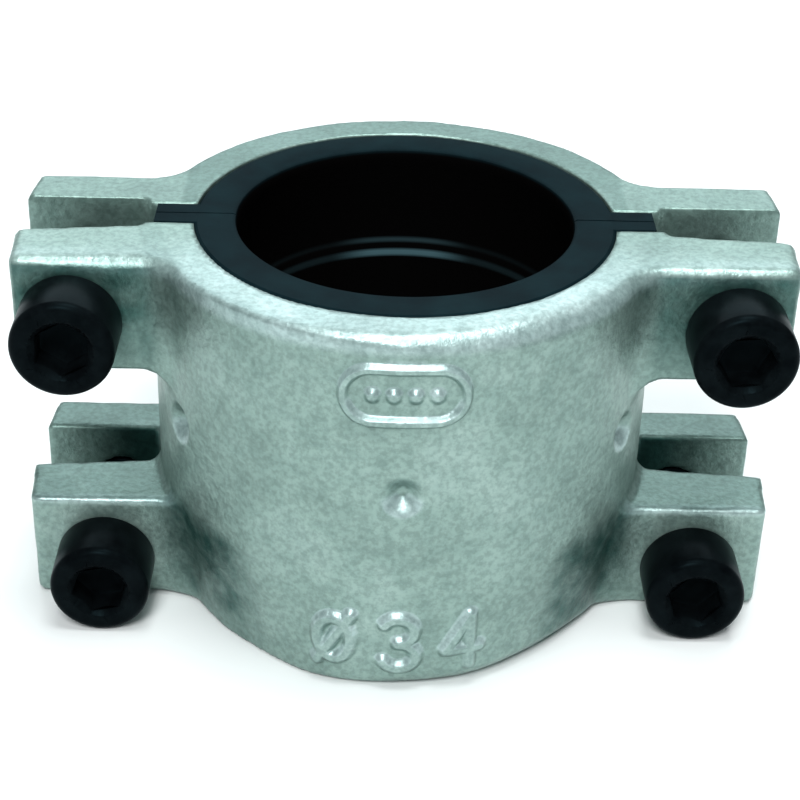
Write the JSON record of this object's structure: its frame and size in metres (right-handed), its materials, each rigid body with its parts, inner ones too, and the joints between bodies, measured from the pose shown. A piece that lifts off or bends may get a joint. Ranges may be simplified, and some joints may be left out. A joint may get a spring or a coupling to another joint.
{
  "type": "pipe repair clamp",
  "caption": "Split cast clamp with rubber-lined half shells and side lugs, drawn together round a pipe by socket head cap screws to seal a leak.",
  "frame": {"origin": "on the pipe's axis, at mid height of the clamp", "axes": "+Z along the pipe, upwards; -Y the front, where the screw heads are; +X to the right as seen from the front, along the lugs"},
  "size_m": [0.0776, 0.052, 0.04],
  "materials": {
    "galvanised_casting": "hot-dip galvanised, satin with a fine sand-cast texture",
    "black_rubber": "moulded, semi-matte",
    "black_oxide_steel": "black oxide with an oil sheen"
  },
  "bodies": {
    "back_half": {"back_shell": "galvanised_casting", "back_gasket": "black_rubber"},
    "front_half": {"front_shell": "galvanised_casting", "front_gasket": "black_rubber"},
    "screw_upper_left_body": {"screw_upper_left": "black_oxide_steel"},
    "screw_upper_right_body": {"screw_upper_right": "black_oxide_steel"},
    "screw_lower_left_body": {"screw_lower_left": "black_oxide_steel"},
    "screw_lower_right_body": {"screw_lower_right": "black_oxide_steel"}
  },
  "joints": [
    {"name": "front_half_slide", "type": "slide", "parent": "back_half", "child": "front_half", "axis": [0, -1, 0], "range_m": [0, 0.0048]},
    {"name": "screw_upper_left_turn", "type": "hinge", "parent": "front_half", "child": "screw_upper_left_body", "pos_m": [-0.0326, 0, 0.0133], "axis": [0, -1, 0], "range_deg": [0, 1729]},
    {"name": "screw_upper_right_turn", "type": "hinge", "parent": "front_half", "child": "screw_upper_right_body", "pos_m": [0.0326, 0, 0.0133], "axis": [0, -1, 0], "range_deg": [0, 1729]},
    {"name": "screw_lower_left_turn", "type": "hinge", "parent": "front_half", "child": "screw_lower_left_body", "pos_m": [-0.0307, 0, -0.01485], "axis": [0, -1, 0], "range_deg": [0, 1729]},
    {"name": "screw_lower_right_turn", "type": "hinge", "parent": "front_half", "child": "screw_lower_right_body", "pos_m": [0.0307, 0, -0.01485], "axis": [0, -1, 0], "range_deg": [0, 1729]}
  ],
  "couplings": [
    {"joint": "screw_upper_left_turn", "follows": "front_half_slide", "rad_per_m": 6283.2},
    {"joint": "screw_upper_right_turn", "follows": "front_half_slide", "rad_per_m": 6283.2},
    {"joint": "screw_lower_left_turn", "follows": "front_half_slide", "rad_per_m": 6283.2},
    {"joint": "screw_lower_right_turn", "follows": "front_half_slide", "rad_per_m": 6283.2}
  ]
}
